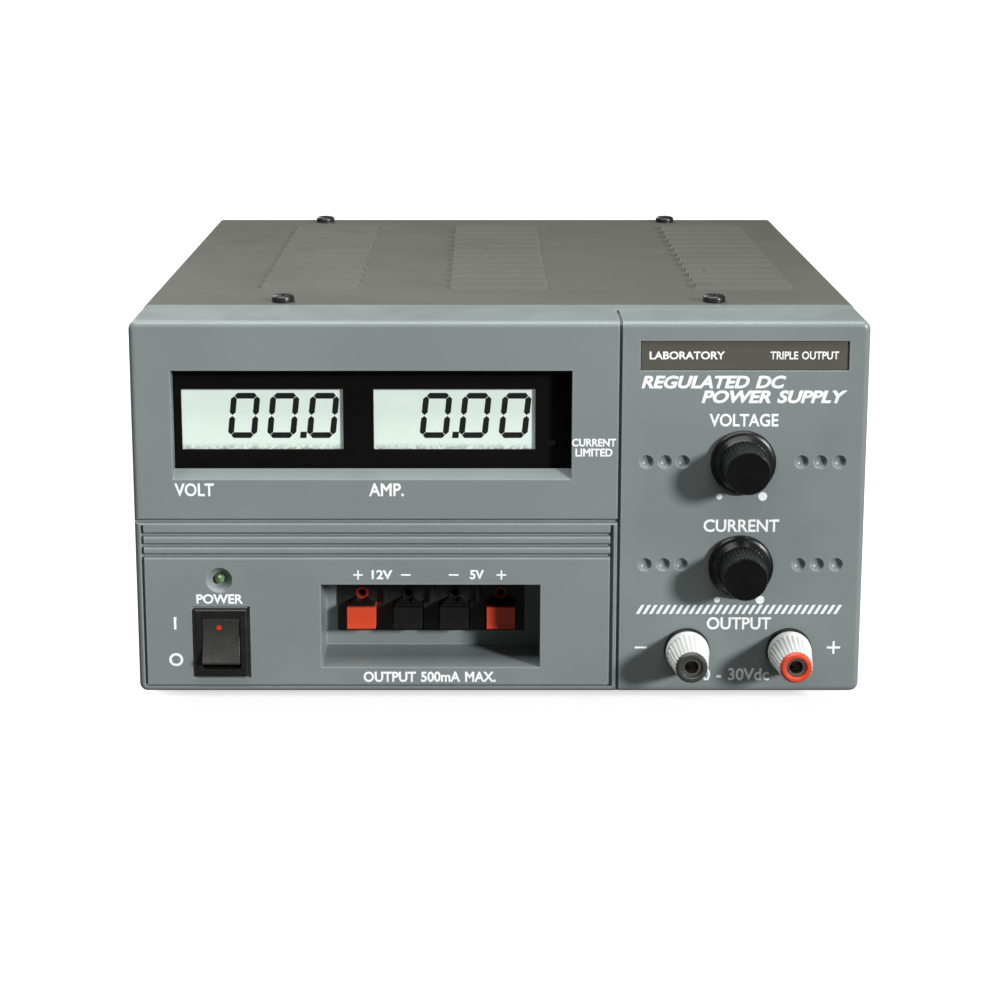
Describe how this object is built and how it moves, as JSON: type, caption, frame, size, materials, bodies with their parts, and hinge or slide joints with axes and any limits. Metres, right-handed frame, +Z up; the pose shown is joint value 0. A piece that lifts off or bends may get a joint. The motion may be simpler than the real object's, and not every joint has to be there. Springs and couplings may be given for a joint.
{
  "type": "bench power supply",
  "caption": "Bench-top regulated DC power supply: moulded front panel with two liquid-crystal meters, knobs, push terminals and binding posts, in a louvred sheet-metal case.",
  "frame": {"origin": "centre of the overall box, on the plane that the rubber feet stand on", "axes": "+X to the right as seen from the front, +Y from the front panel to the back, +Z up"},
  "size_m": [0.219, 0.2616, 0.1214],
  "materials": {
    "bezel_plastic": "fine moulded texture, satin",
    "cover_paint": "satin brown-grey paint",
    "zinc_steel": "bright zinc plate",
    "panel_paint": "satin black paint",
    "black_steel": "black oxide",
    "name_plate": "olive-grey anodised foil",
    "window_clear": "clear acrylic",
    "black_plastic": "black moulded plastic",
    "knob_black": "glossy black plastic",
    "lcd": "reflective grey-green display glass",
    "rubber_black": "black rubber",
    "circuit_board": "green solder mask",
    "lens_red": "tinted lens",
    "lens_green": "tinted lens",
    "lever_red": "orange-red plastic",
    "cap_grey": "light grey plastic",
    "nickel_brass": "nickel plate",
    "heat_sink_black": "black anodised",
    "aluminium_bare": "bare sheet",
    "core_steel": "varnished laminations",
    "winding_tape": "yellow polyester tape",
    "insulator_grey": "thermal pad",
    "capacitor_sleeve": "shrink sleeve",
    "fuse_glass": "glass with metal caps",
    "lead_sleeve": "wire insulation",
    "selector_red": "red plastic"
  },
  "bodies": {
    "chassis": {"base_pan": "zinc_steel", "board_fasteners": "nickel_brass", "board_heat_sink": "aluminium_bare", "chassis_front": "zinc_steel", "chassis_screws": "zinc_steel", "contact_springs": "nickel_brass", "control_board": "circuit_board", "cover_screws": "black_steel", "current_limit_led": "lens_red", "display_board": "circuit_board", "display_mask": "black_plastic", "display_window": "window_clear", "filter_capacitors": "capacitor_sleeve", "front_bezel": "bezel_plastic", "heat_sink": "heat_sink_black", "inlet_body": "black_plastic", "inlet_pins": "nickel_brass", "internal_leads": "lead_sleeve", "lcd_connectors": "rubber_black", "lcd_glasses": "lcd", "main_board": "circuit_board", "moulded_components": "black_plastic", "name_plate": "name_plate", "post_bushings": "black_plastic", "post_nuts_and_lugs": "nickel_brass", "post_studs": "nickel_brass", "potentiometers": "nickel_brass", "power_led": "lens_green", "power_transistors": "nickel_brass", "rear_panel": "panel_paint", "rocker_housing": "black_plastic", "rubber_feet": "rubber_black", "selector_housing": "black_plastic", "switch_blades": "nickel_brass", "terminal_block": "black_plastic", "top_cover": "cover_paint", "transformer_core": "core_steel", "transformer_strap": "zinc_steel", "transformer_winding": "winding_tape", "transistor_insulators": "insulator_grey", "wire_bushes_black": "black_plastic", "wire_bushes_red": "lever_red"},
    "voltage_control": {"voltage_knob": "knob_black", "voltage_shaft": "nickel_brass"},
    "current_control": {"current_knob": "knob_black", "current_shaft": "nickel_brass"},
    "power_rocker": {"rocker": "black_plastic"},
    "lever_12v_plus": {"lever_12v_plus": "lever_red"},
    "lever_12v_minus": {"lever_12v_minus": "black_plastic"},
    "lever_5v_minus": {"lever_5v_minus": "black_plastic"},
    "lever_5v_plus": {"lever_5v_plus": "lever_red"},
    "washer_negative": {"clamp_washer_negative": "nickel_brass"},
    "washer_positive": {"clamp_washer_positive": "nickel_brass"},
    "cap_negative": {"post_cap_negative": "cap_grey", "post_tip_negative": "knob_black"},
    "cap_positive": {"post_cap_positive": "cap_grey", "post_tip_positive": "lever_red"},
    "fuse_drawer": {"fuse_drawer": "black_plastic", "fuses": "fuse_glass"},
    "voltage_selector": {"selector_slider": "selector_red"}
  },
  "joints": [
    {"name": "voltage_turn", "type": "hinge", "parent": "chassis", "child": "voltage_control", "pos_m": [0.0716, -0.1142, 0.0772], "axis": [0, 1, 0], "range_deg": [0, 300]},
    {"name": "current_turn", "type": "hinge", "parent": "chassis", "child": "current_control", "pos_m": [0.0716, -0.1142, 0.0454], "axis": [0, 1, 0], "range_deg": [0, 300]},
    {"name": "power_rock", "type": "hinge", "parent": "chassis", "child": "power_rocker", "pos_m": [-0.0829, -0.1116, 0.0216], "axis": [1, 0, 0], "range_deg": [0, 24]},
    {"name": "12v_plus_press", "type": "hinge", "parent": "chassis", "child": "lever_12v_plus", "pos_m": [-0.0419, -0.0926, 0.0269], "axis": [1, 0, 0], "range_deg": [0, 15], "stiffness_Nm_per_rad": 0.05, "springref_deg": -11.46},
    {"name": "12v_minus_press", "type": "hinge", "parent": "chassis", "child": "lever_12v_minus", "pos_m": [-0.0277, -0.0926, 0.0269], "axis": [1, 0, 0], "range_deg": [0, 15], "stiffness_Nm_per_rad": 0.05, "springref_deg": -11.46},
    {"name": "5v_minus_press", "type": "hinge", "parent": "chassis", "child": "lever_5v_minus", "pos_m": [-0.0135, -0.0926, 0.0269], "axis": [1, 0, 0], "range_deg": [0, 15], "stiffness_Nm_per_rad": 0.05, "springref_deg": -11.46},
    {"name": "5v_plus_press", "type": "hinge", "parent": "chassis", "child": "lever_5v_plus", "pos_m": [0.0007, -0.0926, 0.0269], "axis": [1, 0, 0], "range_deg": [0, 15], "stiffness_Nm_per_rad": 0.05, "springref_deg": -11.46},
    {"name": "washer_negative_slide", "type": "slide", "parent": "chassis", "child": "washer_negative", "axis": [0, -1, 0], "range_m": [0, 0.0056]},
    {"name": "cap_negative_unscrew", "type": "hinge", "parent": "washer_negative", "child": "cap_negative", "pos_m": [0.0562, -0.1222, 0.0193], "axis": [0, -1, 0], "range_deg": [0, 2520]},
    {"name": "washer_positive_slide", "type": "slide", "parent": "chassis", "child": "washer_positive", "axis": [0, -1, 0], "range_m": [0, 0.0056]},
    {"name": "cap_positive_unscrew", "type": "hinge", "parent": "washer_positive", "child": "cap_positive", "pos_m": [0.0867, -0.1222, 0.0193], "axis": [0, -1, 0], "range_deg": [0, 2520]},
    {"name": "fuse_drawer_slide", "type": "slide", "parent": "chassis", "child": "fuse_drawer", "axis": [0, 1, 0], "range_m": [0, 0.02]},
    {"name": "voltage_selector_slide", "type": "slide", "parent": "chassis", "child": "voltage_selector", "axis": [1, 0, 0], "range_m": [0, 0.005]}
  ],
  "couplings": [
    {"joint": "cap_negative_unscrew", "follows": "washer_negative_slide", "rad_per_m": 7853.2},
    {"joint": "cap_positive_unscrew", "follows": "washer_positive_slide", "rad_per_m": 7853.2}
  ]
}
